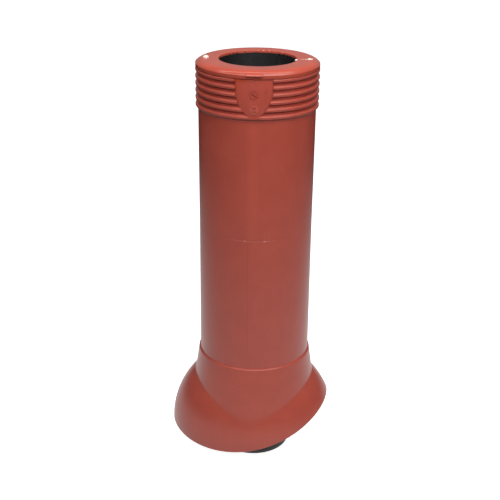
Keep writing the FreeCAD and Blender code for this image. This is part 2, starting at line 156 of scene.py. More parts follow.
def report(piece):
    size = [round(side / MM, 1) for side in piece.dimensions]
    print(piece.name, "faces", len(piece.data.polygons), "size in mm", size)


# %% [markdown]
# ## The duct
# A black soil pipe with a taper on its lower end, which pushes into a socket, and a slightly slimmer
# run inside the foam. Only its foot and its bore show. It is one turned wall.

# %% Duct
DUCT_BORE, DUCT_RADIUS, DUCT_WAIST, DUCT_TOP = 52.3, 55.0, 54.6, 587.0

duct = turned("duct_wall", softened([
    (DUCT_BORE, 0, 0.5),
    (DUCT_RADIUS - 1.4, 0, 0.4),
    (DUCT_RADIUS, 5, 1.5),
    (DUCT_RADIUS, 150, 0),
    (DUCT_WAIST, 155, 0),
    (DUCT_WAIST, DUCT_TOP, 0),
    (DUCT_BORE, DUCT_TOP, 0.3),
]), around=192)
report(duct)

# %% [markdown]
# Where the duct was cut off, black burrs stand in its end and smear a little way up the ring's inner
# wall. They are small stones: an icosphere is squashed to its place, and its points are moved along
# their normals by a noise. The foam's crumbs are made by the same helper later.

# %% Burrs on the duct


def pebble(name, place, size, seed, rough=0.12, detail=4):
    """A rough stone of foam with its own half widths, in millimetres."""
    bpy.ops.object.select_all(action="DESELECT")
    bpy.ops.mesh.primitive_ico_sphere_add(subdivisions=detail, radius=1)
    piece = bpy.context.object
    piece.name = piece.data.name = name
    shift = Vector((seed * 7.3, seed * 3.1, seed * 5.7))
    for vertex in piece.data.vertices:
        swell = 1 + rough * noise.fractal(vertex.co * 1.7 + shift, 0.7, 2.1, 4)
        point = Vector([vertex.co[i] * swell * size[i] for i in range(3)])
        vertex.co = (point + Vector(place)) * MM
    return piece


def on_ring(turn, radius, height):
    turn = math.radians(turn)
    return (radius * math.cos(turn), radius * math.sin(turn), height)


BURRS = [  # place round the axis in degrees, height, half widths
    (127, 587.6, (1.6, 1.2, 0.7)), (133, 588.2, (1.0, 0.9, 0.6)), (112, 588.6, (0.9, 0.4, 0.7)),
    (58, 587.5, (1.4, 0.9, 0.6)), (50, 587.9, (1.1, 1.1, 0.6)), (43, 587.5, (1.0, 1.3, 0.6)),
    (35, 587.8, (0.7, 1.1, 0.5)), (140, 587.5, (0.8, 1.2, 0.6)), (96, 587.3, (1.2, 0.4, 0.4)),
]
burrs = [pebble("duct_burr", on_ring(turn, 52.2, height), size, seed=40 + i, rough=0.25, detail=3)
         for i, (turn, height, size) in enumerate(BURRS)]
joined(duct, burrs)
smooth(duct)
report(duct)

# %% [markdown]
# ## The shell's round parts
# The shell is one moulding. From the top down it has a collar with six rounded ribs, a pipe that
# narrows very slightly to a seam and widens again, because two halves of the mould meet there, and a
# neck that starts with a rounded shoulder. Its inside is a plain bore with a step above the skirt.
# All of that is one profile. The skirt's rows are pulled straight down for now and shaped next.

# %% Shell profile
SHELL_TOP, COLLAR_END, SEAM, SHOULDER = 584.0, 524.1, 358.0, 161.0
SHELL_RADIUS, COLLAR_RADIUS, WAIST_RADIUS = 80.0, 80.3, 79.45
BORE_RADIUS, NECK_RADIUS, WALL = 76.25, 82.0, 3.2
RIB_COUNT, RIB_PITCH, FIRST_RIB = 6, 9.5, 577.5
RIB_FOOT, RIB_SHOULDER, RIB_DEPTH, RIB_CORNER, RIB_HANG = 2.5, 2.1, 3.2, 1.5, 0.6
SHOULDER_ROUND = 2.3
SKIRT_ROWS, INSIDE_ROWS = (20, 8, 40), (8, 6, 14)


def rib_points(height):
    """One rib's section, top to bottom: sloping flanks and two round corners."""
    middle = COLLAR_RADIUS + RIB_DEPTH - RIB_CORNER
    rise = RIB_SHOULDER - RIB_CORNER
    upper = [(COLLAR_RADIUS, RIB_FOOT + 0.3), (COLLAR_RADIUS + 0.2, RIB_FOOT)]
    for step in range(7):
        angle = math.radians(84 * (1 - step / 6))
        upper.append((middle + RIB_CORNER * math.cos(angle), rise + RIB_CORNER * math.sin(angle)))
    height -= RIB_HANG
    return [(r, height + z) for r, z in upper] + [(r, height - z) for r, z in reversed(upper)]


def pipe_radius(height):
    span = (COLLAR_END - SEAM) if height > SEAM else (SEAM - SHOULDER)
    return WAIST_RADIUS + (SHELL_RADIUS - WAIST_RADIUS) * abs(height - SEAM) / span


def shell_profile():
    rows = [(BORE_RADIUS, SHELL_TOP), (COLLAR_RADIUS - 0.3, SHELL_TOP), (COLLAR_RADIUS, SHELL_TOP - 0.3)]
    for i in range(RIB_COUNT):
        rows += rib_points(FIRST_RIB - i * RIB_PITCH)
    rows += [(COLLAR_RADIUS, COLLAR_END + 0.2), (COLLAR_RADIUS - 0.1, COLLAR_END),
             (SHELL_RADIUS, COLLAR_END - 0.15)]
    for height in (490, 440, 400, 370, SEAM + 1.2, SEAM + 0.35):
        rows.append((pipe_radius(height), height))
    rows.append((WAIST_RADIUS - 0.16, SEAM))
    for height in (SEAM - 0.35, SEAM - 1.2, 345, 300, 250, 200, 170, SHOULDER + 0.6):
        rows.append((pipe_radius(height), height))
    foot, outer_rows = SHOULDER - SHOULDER_ROUND, sum(SKIRT_ROWS)
    for step in range(9):
        angle = math.radians(80 * (1 - step / 8))
        rows.append((SHELL_RADIUS + SHOULDER_ROUND * math.cos(angle), foot + SHOULDER_ROUND * math.sin(angle)))
    outside = [(NECK_RADIUS, foot * (1 - (i + 1) / outer_rows)) for i in range(outer_rows)]
    step_height, inner_rows = SHOULDER - WALL, sum(INSIDE_ROWS)
    inside = [(NECK_RADIUS - WALL, step_height * i / inner_rows) for i in range(inner_rows + 1)]
    bore = [(BORE_RADIUS, step_height), (BORE_RADIUS, 400)]
    return [(r * MM, z * MM) for r, z in rows + outside + inside + bore]


shell = turned("shell_moulding", shell_profile())
report(shell)

# %% [markdown]
# ## The skirt
# Under the shoulder the wall becomes a cone, and a dome with two lobes swells out of it up and down the
# roof. Where they meet there is a V-shaped crease that fades out at its tip, and the rim is one arc
# across the roof. Booleans would leave that crease sharp and its shading rough, so the straight rows
# are pushed out instead: each point takes the larger of the two radii, blended over a few
# millimetres, as a finger smooths a fillet in clay. The rim's edge loops are then bevelled.

# %% Shape the skirt
NECK_SLOPE = math.tan(math.radians(8.1))
DOME_MIDDLE, DOME_RISE = 33.3, 126.2
DOME_LENGTH, DOME_WIDTH = 123.3, 101.1
RIM_RADIUS, RIM_SHIFT, RIM_LOW = 300.6, 63.0, 28.9
CREASE_SOFT = 1.6


def blended(first, second, width):
    """The larger of two radii, with the corner between them filled."""
    near = max(width - abs(first - second), 0) / width
    return max(first, second) + near * near * width / 4


def cone_radius(height, inset):
    return NECK_RADIUS + (SHOULDER - height) * NECK_SLOPE - inset


def dome_radius(angle, height, inset):
    rise = min(abs(height - DOME_MIDDLE) / (DOME_RISE - inset), 1)
    length, width = DOME_LENGTH - inset, DOME_WIDTH - inset
    across = math.hypot(width * math.cos(angle), length * math.sin(angle))
    return math.sqrt(1 - rise * rise) * length * width / across


def skirt_radius(angle, height, inset):
    cone, dome = cone_radius(height, inset), dome_radius(angle, height, inset)
    return blended(cone, dome, CREASE_SOFT * min(max((height - 42) / 34, 0.1), 1))


def crease_height(angle, gap, inset):
    """Where the cone stands out of the dome by a given gap."""
    low, high = 50.0, 156.0
    for _ in range(30):
        middle = (low + high) / 2
        if cone_radius(middle, inset) - dome_radius(angle, middle, inset) > gap:
            high = middle
        else:
            low = middle
    return middle


def rim_height(along):
    return RIM_LOW + RIM_RADIUS - math.sqrt(RIM_RADIUS ** 2 - (along + RIM_SHIFT) ** 2)


def lowest(angle, inset):
    height = 60.0
    for _ in range(14):
        height = rim_height(skirt_radius(angle, height, inset) * math.cos(angle))
    return height


def skirt_heights(angle, top, inset, rows):
    """Heights of one column: even above the crease, close together over it, even down to the rim."""
    above, over, below = rows
    upper = crease_height(angle, CREASE_SOFT, inset)
    rim = lowest(angle, inset)
    lower = max(crease_height(angle, -CREASE_SOFT, inset), rim + 4)
    heights = [top + (upper - top) * i / above for i in range(above)]
    heights += [upper + (lower - upper) * i / over for i in range(over)]
    heights += [lower + (rim - lower) * i / below for i in range(below + 1)]
    return heights


def shape_skirt(piece):
    """Push the straight rows out to the skirt, column by column, and return the rim's points."""
    rim, columns = [], {}
    outer, inner = SHOULDER - SHOULDER_ROUND, SHOULDER - WALL
    for vertex in piece.data.vertices:
        x, y, z = vertex.co
        radius, angle, height = math.hypot(x, y) / MM, math.atan2(y, x), z / MM
        if height < outer - 0.01 and abs(radius - NECK_RADIUS) < 0.05:
            top, inset, rows = outer, 0, SKIRT_ROWS
        elif height < inner + 0.01 and abs(radius - NECK_RADIUS + WALL) < 0.05:
            top, inset, rows = inner, WALL, INSIDE_ROWS
        else:
            continue
        key = (round(angle, 4), inset)
        if key not in columns:
            columns[key] = skirt_heights(angle, top, inset, rows)
        row = round((1 - height / top) * sum(rows))
        height = columns[key][row]
        radius = skirt_radius(angle, height, inset)
        vertex.co = Vector((radius * math.cos(angle), radius * math.sin(angle), height)) * MM
        if row == sum(rows):
            rim.append(vertex.index)
    return rim


def bevel_rim(piece, rim):
    alone(piece)
    bpy.ops.object.mode_set(mode="EDIT")
    bpy.ops.mesh.select_all(action="DESELECT")
    bpy.ops.object.mode_set(mode="OBJECT")
    rim = set(rim)
    rows = {}
    for edge in piece.data.edges:
        a, b = edge.vertices
        if a in rim and b in rim:
            flat = (piece.data.vertices[a].co - piece.data.vertices[b].co)
            mean = (piece.data.vertices[a].co + piece.data.vertices[b].co) / 2
            along = abs(flat.xy.normalized().dot(mean.xy.normalized()))
            edge.select = along < 0.7
            rows[edge.select] = rows.get(edge.select, 0) + 1
    bpy.ops.object.mode_set(mode="EDIT")
    bpy.ops.mesh.select_mode(type="EDGE")
    bpy.ops.mesh.bevel(offset=1.1 * MM, segments=4, profile=0.5, affect="EDGES")
    bpy.ops.object.mode_set(mode="OBJECT")
    print("rim edges", rows)


bevel_rim(shell, shape_skirt(shell))
report(shell)

# %% [markdown]
# ## The shield
# On the front of the collar the ribs stop short of a smooth shield. The gap is cut with a boolean,
# using the shield's own outline drawn a little larger, and the shield is a curved plate set on the
# collar. The plate is made flat, as strips that run from its straight top to its curved lower edge,
# so that every strip can lie on the round collar once it is wrapped.

# %% Shield plate and the cut round it
SHIELD_TOP, SHIELD_TIP = 578.8, 528.0
SHIELD_HALF, SIDE_ROUND, TIP_ROUND = 23.9, 44.0, 9.0
SHIELD_RADIUS, RIB_END_GAP = 82.2, 0.6
SHELF_TOP, SHELF_RADIUS = 580.2, 81.5


def shield_low(x):
    """Height of the shield's lower outline at a place across it."""
    half, side, nose = SHIELD_HALF, SIDE_ROUND, TIP_ROUND
    nose_height = SHIELD_TIP + TIP_ROUND
    reach = math.sqrt((side - nose) ** 2 - (side - half) ** 2)
    touch = (side - half) * nose / (side - nose)
    x = min(abs(x), half)
    if x < touch:
        return nose_height - math.sqrt(max(nose * nose - x * x, 0))
    run = x + side - half
    return nose_height + reach - math.sqrt(max(side * side - run * run, 0))


def shield_strips(name, grow, back, front, top=SHIELD_TOP, low_at=shield_low, columns=64):
    """A plate with the shield's outline, from one radius out to another."""
    bpy.ops.object.select_all(action="DESELECT")
    bpy.ops.mesh.primitive_grid_add(x_subdivisions=columns, y_subdivisions=1, size=2)
    piece = bpy.context.object
    piece.name = piece.data.name = name
    for vertex in piece.data.vertices:
        x = SHIELD_HALF * math.sin(vertex.co.x * math.pi / 2)
        z = top + grow if vertex.co.y > 0 else low_at(x)
        vertex.co = (x * (1 + grow / SHIELD_HALF) * MM, -back * MM, z * MM)
    alone(piece)
    bpy.ops.object.mode_set(mode="EDIT")
    bpy.ops.mesh.select_all(action="SELECT")
    bpy.ops.mesh.extrude_region_move(TRANSFORM_OT_translate={"value": (0, (back - front) * MM, 0)})
    bpy.ops.mesh.select_all(action="SELECT")
    bpy.ops.mesh.normals_make_consistent(inside=False)
    bpy.ops.object.mode_set(mode="OBJECT")
    for vertex in piece.data.vertices:
        x, y, z = vertex.co
        level = abs(y)
        vertex.co.y = -math.sqrt(level * level - x * x)
    return piece


def boolean(piece, tool, operation):
    alone(piece)
    modifier = piece.modifiers.new(operation.lower(), "BOOLEAN")
    modifier.operation = operation
    modifier.solver = "EXACT"
    modifier.object = tool
    bpy.ops.object.modifier_apply(modifier=modifier.name)
    bpy.data.objects.remove(tool)


def bevelled(piece, width, segments=2, degrees=40):
    alone(piece)
    modifier = piece.modifiers.new("bevel", "BEVEL")
    modifier.width = width * MM
    modifier.segments = segments
    modifier.limit_method = "ANGLE"
    modifier.angle_limit = math.radians(degrees)
    bpy.ops.object.modifier_apply(modifier=modifier.name)


window = shield_strips("shield_window", RIB_END_GAP, COLLAR_RADIUS + 0.02, 90, top=SHELL_TOP - 1)
boolean(shell, window, "DIFFERENCE")
shelf = shield_strips("shield_shelf", 0, 78.5, SHELF_RADIUS, top=SHELF_TOP, low_at=lambda x: SHIELD_TOP - 1.5)
boolean(shell, shelf, "UNION")
plate = shield_strips("shield_plate", 0, 78.5, SHIELD_RADIUS)
bevelled(plate, 0.4, segments=3)
report(plate)

# %% [markdown]
# Moulders mark such a shield with small round dials. The upper one is a ring of sunk ticks round a
# bent hand, and the lower one a raised disc with a few shallow lines. Every tick is a short bar, laid
# flat at its place, wrapped on the round shield and cut out of the plate. Their figures are plain
# divisions, as on any dated moulding.

# %% Dials on the shield
DIAL_HEIGHT, DISC_HEIGHT, DISC_RADIUS = 558.6, 539.4, 6.0


def wrapped(piece):
    """Lay a flat piece on the round front: its depth becomes a radius."""
    for vertex in piece.data.vertices:
        x, y, z = vertex.co
        vertex.co.y = -math.sqrt(y * y - x * x)
    return piece


def bar(x, z, turn, length, width, depth):
    """A short bar across the shield's face, sunk to a depth."""
    bpy.ops.object.select_all(action="DESELECT")
    bpy.ops.mesh.primitive_cube_add(size=1)
    piece = bpy.context.object
    piece.name = piece.data.name = "dial_bar"
    spin = Matrix.Rotation(turn, 2)
    for vertex in piece.data.vertices:
        flat = spin @ Vector((vertex.co.x * length, vertex.co.z * width))
        level = SHIELD_RADIUS + (1 if vertex.co.y < 0 else -depth)
        vertex.co = (Vector((x + flat.x, -level, z + flat.y))) * MM
    return wrapped(piece)


def disc(x, z, radius, back, front):
    bpy.ops.object.select_all(action="DESELECT")
    bpy.ops.mesh.primitive_cylinder_add(vertices=48, radius=radius * MM, depth=(front - back) * MM,
                                        rotation=(math.pi / 2, 0, 0))
    piece = bpy.context.object
    piece.name = piece.data.name = "dial_disc"
    bpy.ops.object.transform_apply(location=True, rotation=True, scale=True)
    for vertex in piece.data.vertices:
        vertex.co += Vector((x, -(front + back) / 2, z)) * MM
    return wrapped(piece)


def dial_ticks(z, inner, outer, count, width, depth):
    middle, length = (inner + outer) / 2, outer - inner
    return [bar(middle * math.cos(turn), z + middle * math.sin(turn), turn, length, width, depth)
            for turn in (math.tau * i / count + 0.13 for i in range(count))]


def cut_all(piece, tools):
    first = tools[0]
    joined(first, tools[1:])
    alone(first)
    bpy.ops.object.mode_set(mode="EDIT")
    bpy.ops.mesh.select_all(action="SELECT")
    bpy.ops.mesh.normals_make_consistent(inside=False)
    bpy.ops.object.mode_set(mode="OBJECT")
    boolean(piece, first, "DIFFERENCE")


cut_all(plate, dial_ticks(DIAL_HEIGHT, 3.9, 6.2, 10, 1.15, 1.0))
cut_all(plate, [bar(-0.9, DIAL_HEIGHT + 0.5, 2.2, 4.4, 1.3, 1.1)])
cut_all(plate, [bar(1.1, DIAL_HEIGHT - 1.2, -0.5, 3.0, 1.3, 1.1)])
cut_all(plate, [bar(15.2, 562.3, 1.0, 3.4, 1.5, 0.6)])
raised = disc(0, DISC_HEIGHT, DISC_RADIUS, 81, SHIELD_RADIUS + 0.5)
bevelled(raised, 0.3)
boolean(plate, raised, "UNION")
cut_all(plate, [bar(0, DISC_HEIGHT - 0.6, math.pi / 2, 8.6, 0.9, 0.3)])
for lean in (0.7, 1.2, math.pi - 0.7, math.pi - 1.2):
    cut_all(plate, [bar(2.6 * math.cos(lean), DISC_HEIGHT + 0.4 + 2.4 * math.sin(lean), lean, 3.4, 0.8, 0.3)])
for lean in (-0.5, math.pi + 0.5):
    cut_all(plate, [bar(2.6 * math.cos(lean), DISC_HEIGHT - 0.9 + 2.4 * math.sin(lean), lean, 3.2, 0.8, 0.3)])
boolean(shell, plate, "UNION")
smooth(shell, 32)
report(shell)

# %% [markdown]
# ## The ring
# The ring's plate is flat round the hole and rolls over in a soft crown to its outer lip, which hangs
# just clear of the first rib. Below, a flange reaches into the shell. A small tab hangs from the front of the lip, and the plate has two
# holes through which the foam was poured. The crown is an arc of many short steps in the profile.

# %% Ring
RING_TOP, PLATE_UNDER, RING_RADIUS = 590.0, 587.0, 83.3
LIP_EDGE, LIP_LOW, LIP_INSIDE = 580.3, 581.0, 80.55
CROWN_RADIUS, CROWN_WIDTH, CROWN_STEPS = 14.3, 11.0, 14
FLANGE_RADIUS, FLANGE_END, FLANGE_WALL = 76.05, 576.0, 2.0
HOLE_PLACE, HOLE_RADIUS = 69.5, 3.0


def ring_profile():
    flat = RING_RADIUS - CROWN_WIDTH
    spread = math.asin(CROWN_WIDTH / CROWN_RADIUS)
    crown = []
    for step in range(CROWN_STEPS + 1):
        angle = spread * step / CROWN_STEPS
        crown.append((flat + CROWN_RADIUS * math.sin(angle),
                      RING_TOP - CROWN_RADIUS * (1 - math.cos(angle)), 0))
    crown[-1] = crown[-1][:2] + (0.15,)
    return softened([(DUCT_BORE, PLATE_UNDER, 0), (DUCT_BORE, RING_TOP, 0.6)] + crown + [
        (RING_RADIUS, LIP_EDGE, 0.2),
        (LIP_INSIDE, LIP_LOW, 0.2),
        (LIP_INSIDE, SHELL_TOP, 0),
        (FLANGE_RADIUS, SHELL_TOP, 0),
        (FLANGE_RADIUS, FLANGE_END, 0.3),
        (FLANGE_RADIUS - FLANGE_WALL, FLANGE_END, 0.3),
        (FLANGE_RADIUS - FLANGE_WALL, PLATE_UNDER, 0),
    ])


def block(name, corners):
    """A cube whose eight corners are moved to their places, lower four first."""
    bpy.ops.object.select_all(action="DESELECT")
    bpy.ops.mesh.primitive_cube_add(size=2)
    piece = bpy.context.object
    piece.name = piece.data.name = name
    order = sorted(piece.data.vertices, key=lambda v: (v.co.z, v.co.y, v.co.x))
    for vertex, corner in zip(order, corners):
        vertex.co = Vector(corner) * MM
    return piece


def drill(name, x, radius, low, high, around=48):
    bpy.ops.object.select_all(action="DESELECT")
    bpy.ops.mesh.primitive_cylinder_add(vertices=around, radius=radius * MM, depth=(high - low) * MM,
                                        location=(x * MM, 0, (high + low) / 2 * MM))
    piece = bpy.context.object
    piece.name = piece.data.name = name
    bpy.ops.object.transform_apply(location=True, rotation=True, scale=True)
    return piece


def let_sag(piece):
    """The lid's rim isn't quite level: it hangs a little at the front and rises at the back."""
    for vertex in piece.data.vertices:
        x, y, z = vertex.co / MM
        share = min(max((math.hypot(x, y) - LIP_INSIDE) / (RING_RADIUS - LIP_INSIDE), 0), 1)
        vertex.co.z += share * (0.7 * y - 0.3 * x) / RING_RADIUS * MM


ring = turned("ring_lid", ring_profile())
let_sag(ring)
TAB_HALF, TAB_ROOT, TAB_FRONT, TAB_LOW = 11.1, 81.0, 85.5, 583.2
tab = block("ring_tab", [
    (-TAB_HALF + 1.1, -TAB_FRONT, TAB_LOW), (TAB_HALF - 1.1, -TAB_FRONT, TAB_LOW),
    (-TAB_HALF, -TAB_ROOT, TAB_LOW), (TAB_HALF, -TAB_ROOT, TAB_LOW),
    (-TAB_HALF + 1.1, -TAB_FRONT, TAB_LOW + 1.3), (TAB_HALF - 1.1, -TAB_FRONT, TAB_LOW + 1.3),
    (-TAB_HALF, -TAB_ROOT, 586.9), (TAB_HALF, -TAB_ROOT, 586.9),
])
bevelled(tab, 0.25)
boolean(ring, tab, "UNION")
for side in (-1, 1):
    boolean(ring, drill("pour_drill", side * HOLE_PLACE, HOLE_RADIUS, 580, 600), "DIFFERENCE")
smooth(ring, 32)
report(ring)

# %% [markdown]
# ## The foam
# Pale rigid foam fills the space between duct and shell. It shows in three places: a rough skin under
# the pipe, a lump that rose out of the left pouring hole, and a broken blister at the right one. The
# skin is the sleeve's lowest face, cut into rings and pushed up and down by a noise, so that it looks
# like foam that stopped where it met the mould.

# %% Foam sleeve
FOAM_FOOT = 161.0


def foam_profile():
    skin = [(BORE_RADIUS - i * (BORE_RADIUS - DUCT_WAIST) / 12, FOAM_FOOT, 0) for i in range(12, -1, -1)]
    wall = [(BORE_RADIUS, FLANGE_END, 0), (FLANGE_RADIUS - FLANGE_WALL, FLANGE_END, 0),
            (FLANGE_RADIUS - FLANGE_WALL, PLATE_UNDER, 0), (DUCT_WAIST, PLATE_UNDER, 0)]
    return softened(skin + wall)


foam = turned("foam_fill", foam_profile(), around=192)
for vertex in foam.data.vertices:
    radius = math.hypot(vertex.co.x, vertex.co.y) / MM
    if vertex.co.z < (FOAM_FOOT + 1) * MM and DUCT_WAIST + 0.1 < radius < BORE_RADIUS - 0.1:
        swell = noise.fractal(vertex.co * 160, 0.8, 2.1, 4)
        vertex.co.z += (1.0 + 1.4 * swell) * MM
report(foam)

# %% [markdown]
# The lump, the blister and a few crumbs are small round stones of foam: an icosphere is squashed to
# its place and its points are moved along their normals by a noise. Each is modelled by the same
# helper and then joined to the foam, as they are the same casting.

# %% Foam lump, blister and crumbs


lump = pebble("foam_lump", (-HOLE_PLACE + 0.2, -1.2, 589.6), (4.1, 3.8, 3.0), seed=1, rough=0.05)
blister = pebble("foam_blister", (HOLE_PLACE, 0, 589.3), (4.4, 4.0, 1.5), seed=2, rough=0.12)
pit = pebble("foam_pit", (HOLE_PLACE + 0.1, -0.1, 591.5), (2.4, 2.6, 3.6), seed=3, rough=0.15, detail=3)
boolean(blister, pit, "DIFFERENCE")
CRUMBS = [  # place round the axis in degrees, radius, height, half widths
    (-6, 51.9, 589.2, (2.2, 3.3, 1.3)), (-3.5, 58.6, 590.0, (0.8, 0.6, 0.3)),
    (-2.5, 61.0, 590.0, (1.0, 0.5, 0.3)), (-4.2, 63.4, 590.0, (0.6, 0.5, 0.25)),
    (-1.8, 64.6, 590.0, (0.7, 0.6, 0.3)), (75.5, 52.9, 589.5, (0.9, 0.6, 0.7)),
    (84, 52.9, 589.7, (1.6, 0.5, 0.35)), (92, 53.0, 589.7, (1.2, 0.5, 0.3)),
    (98, 52.9, 589.7, (0.8, 0.5, 0.3)), (67, 52.9, 589.6, (0.6, 0.5, 0.4)),
    (112, 52.8, 589.6, (0.7, 0.5, 0.4)), (52, 52.8, 589.4, (0.7, 0.5, 0.5)),
]
crumbs = []
for i, (turn, radius, height, size) in enumerate(CRUMBS):
    crumbs.append(pebble("foam_crumb", on_ring(turn, radius, height), size, 10 + i, 0.2, detail=3))
joined(foam, [lump, blister] + crumbs)
smooth(foam, 60)
report(foam)

# %% [markdown]
# ## A finish for each piece
# The shell and ring are satin moulded plastic. Up close such plastic has a very fine grain from the
# mould, a slow waviness that bends reflections, and faint scratches from handling. Each of these is
# used by more than one material, so each is a node group with its own values per material, and it puts
# out only a height or a mask. The shader stays in the material.

# %% Node helpers


def link(tree, source, socket, target, entry):
    tree.links.new(source.outputs[socket], target.inputs[entry])


def add_node(tree, kind, **values):
    """A node with its properties and inputs set by name."""
    node = tree.nodes.new(kind)
    for key, value in values.items():
        if key in node.inputs:
            node.inputs[key].default_value = value
        else:
            setattr(node, key, value)
    return node


def new_group(name, inputs, outputs):
    group = bpy.data.node_groups.new(name, "ShaderNodeTree")
    for title, value in inputs:
        socket = group.interface.new_socket(title, in_out="INPUT", socket_type="NodeSocketFloat")
        socket.default_value = value
    for title in outputs:
        group.interface.new_socket(title, in_out="OUTPUT", socket_type="NodeSocketFloat")
    entry = group.nodes.new("NodeGroupInput")
    leave = group.nodes.new("NodeGroupOutput")
    return group, entry, leave


def use_group(tree, group, **values):
    node = tree.nodes.new("ShaderNodeGroup")
    node.node_tree = group
    for key, value in values.items():
        node.inputs[key.replace("_", " ")].default_value = value
    return node


def object_noise(tree, place, scale, detail=3.0, rough=0.5):
    node = add_node(tree, "ShaderNodeTexNoise", Scale=scale, Detail=detail, Roughness=rough)
    link(tree, place, "Object", node, "Vector")
    return node


# %% [markdown]
# The first group is the mould's surface: a fine grain and a slow wave, mixed into one height, and a
# mottle that shifts the colour a little, as pigment does in thick plastic.

# %% Group: moulded surface


def build_moulded_surface():
    group, entry, leave = new_group("moulded_surface", [
        ("Grain scale", 900.0), ("Wave scale", 45.0), ("Grain share", 0.35)], ["Height", "Mottle"])
    place = group.nodes.new("ShaderNodeTexCoord")
    grain = object_noise(group, place, 900, detail=2)
    wave = object_noise(group, place, 45, detail=1)
    mottle = object_noise(group, place, 28, detail=5, rough=0.6)
    link(group, entry, "Grain scale", grain, "Scale")
    link(group, entry, "Wave scale", wave, "Scale")
    mix = add_node(group, "ShaderNodeMix", data_type="FLOAT")
    group.links.new(entry.outputs["Grain share"], mix.inputs[0])
    group.links.new(wave.outputs["Fac"], mix.inputs[2])
    group.links.new(grain.outputs["Fac"], mix.inputs[3])
    group.links.new(mix.outputs[0], leave.inputs["Height"])
    link(group, mottle, "Fac", leave, "Mottle")
    return group


moulded_surface = build_moulded_surface()
print("group", moulded_surface.name)

# %% [markdown]
# The second group is handling: short scratches in many directions and specks of dust. Scratches are a
# noise stretched along one axis and cut to its thin crests. Specks are the middles of scattered cells.

# %% Group: handling marks


def build_handling_marks():
    group, entry, leave = new_group("handling_marks", [
        ("Scratch amount", 0.5), ("Speck amount", 0.5)], ["Scratches", "Specks"])
    place = group.nodes.new("ShaderNodeTexCoord")
    total = None
    for turn, stretch in ((0.5, (900, 900, 26)), (1.9, (700, 40, 700)), (2.7, (50, 800, 800))):
        mapping = add_node(group, "ShaderNodeMapping")
        mapping.inputs["Rotation"].default_value = (turn, turn * 0.7, turn * 1.3)
        mapping.inputs["Scale"].default_value = stretch
        link(group, place, "Object", mapping, "Vector")
        streak = add_node(group, "ShaderNodeTexNoise", Scale=1.0, Detail=0.0)
        link(group, mapping, "Vector", streak, "Vector")
        crest = add_node(group, "ShaderNodeMapRange")
        crest.inputs["From Min"].default_value = 0.74
        crest.inputs["From Max"].default_value = 0.80
        link(group, streak, "Fac", crest, "Value")
        if total is None:
            total = crest
            continue
        both = add_node(group, "ShaderNodeMath", operation="MAXIMUM")
        group.links.new(total.outputs[0], both.inputs[0])
        group.links.new(crest.outputs[0], both.inputs[1])
        total = both
    patches = object_noise(group, place, 14, detail=2)
    sparse = add_node(group, "ShaderNodeMapRange")
    sparse.inputs["From Min"].default_value = 0.45
    sparse.inputs["From Max"].default_value = 0.7
    link(group, patches, "Fac", sparse, "Value")
    kept = add_node(group, "ShaderNodeMath", operation="MULTIPLY")
    group.links.new(total.outputs[0], kept.inputs[0])
    group.links.new(sparse.outputs[0], kept.inputs[1])
    scaled = add_node(group, "ShaderNodeMath", operation="MULTIPLY")
    group.links.new(kept.outputs[0], scaled.inputs[0])
    group.links.new(entry.outputs["Scratch amount"], scaled.inputs[1])
    link(group, scaled, 0, leave, "Scratches")
    cells = add_node(group, "ShaderNodeTexVoronoi", Scale=140.0)
    link(group, place, "Object", cells, "Vector")
    speck = add_node(group, "ShaderNodeMapRange")
    speck.inputs["From Min"].default_value = 0.09
    speck.inputs["From Max"].default_value = 0.04
    link(group, cells, "Distance", speck, "Value")
    dusty = add_node(group, "ShaderNodeMath", operation="MULTIPLY")
    group.links.new(speck.outputs[0], dusty.inputs[0])
    group.links.new(entry.outputs["Speck amount"], dusty.inputs[1])
    link(group, dusty, 0, leave, "Specks")
    return group


handling_marks = build_handling_marks()
print("group", handling_marks.name)

# %% [markdown]
# ## Red plastic
# Two reds, a darker and a lighter, are mixed by the mottle, dust and scratches turn it a little paler,
# and both roughness and bump come from the moulded surface. The ring is the same plastic from another
# mould, a shade warmer, so one function makes both.

# %% Red plastic


def linear(red, green, blue):
    """A colour picked on screen, as the linear values that a shader needs."""
    parts = []
    for part in (red, green, blue):
        part = part / 255
        parts.append(part / 12.92 if part <= 0.04045 else ((part + 0.055) / 1.055) ** 2.4)
    return (*parts, 1)


def mixed_colour(tree, mask, socket, low, high):
    mix = add_node(tree, "ShaderNodeMix", data_type="RGBA")
    tree.links.new(mask.outputs[socket], mix.inputs[0])
    for entry, value in ((6, low), (7, high)):
        if isinstance(value, tuple):
            mix.inputs[entry].default_value = value
        else:
            tree.links.new(value.outputs[2], mix.inputs[entry])
    return mix


def near(tree, split, axis, centre, half, soft):
    """A mask that is one within some millimetres of a place along an axis."""
    away = add_node(tree, "ShaderNodeMath", operation="SUBTRACT")
    link(tree, split, axis, away, 0)
    away.inputs[1].default_value = centre * MM
    size = add_node(tree, "ShaderNodeMath", operation="ABSOLUTE")
    link(tree, away, 0, size, 0)
    mask = add_node(tree, "ShaderNodeMapRange")
    mask.inputs["From Min"].default_value = (half + soft) * MM
    mask.inputs["From Max"].default_value = half * MM
    link(tree, size, 0, mask, "Value")
    return mask


def product(tree, masks, share):
    """Several masks multiplied, then scaled to a share."""
    total = add_node(tree, "ShaderNodeMath", operation="MULTIPLY")
    link(tree, masks[0], 0, total, 0)
    total.inputs[1].default_value = share
    for mask in masks[1:]:
        both = add_node(tree, "ShaderNodeMath", operation="MULTIPLY")
        link(tree, total, 0, both, 0)
        link(tree, mask, 0, both, 1)
        total = both
    return total


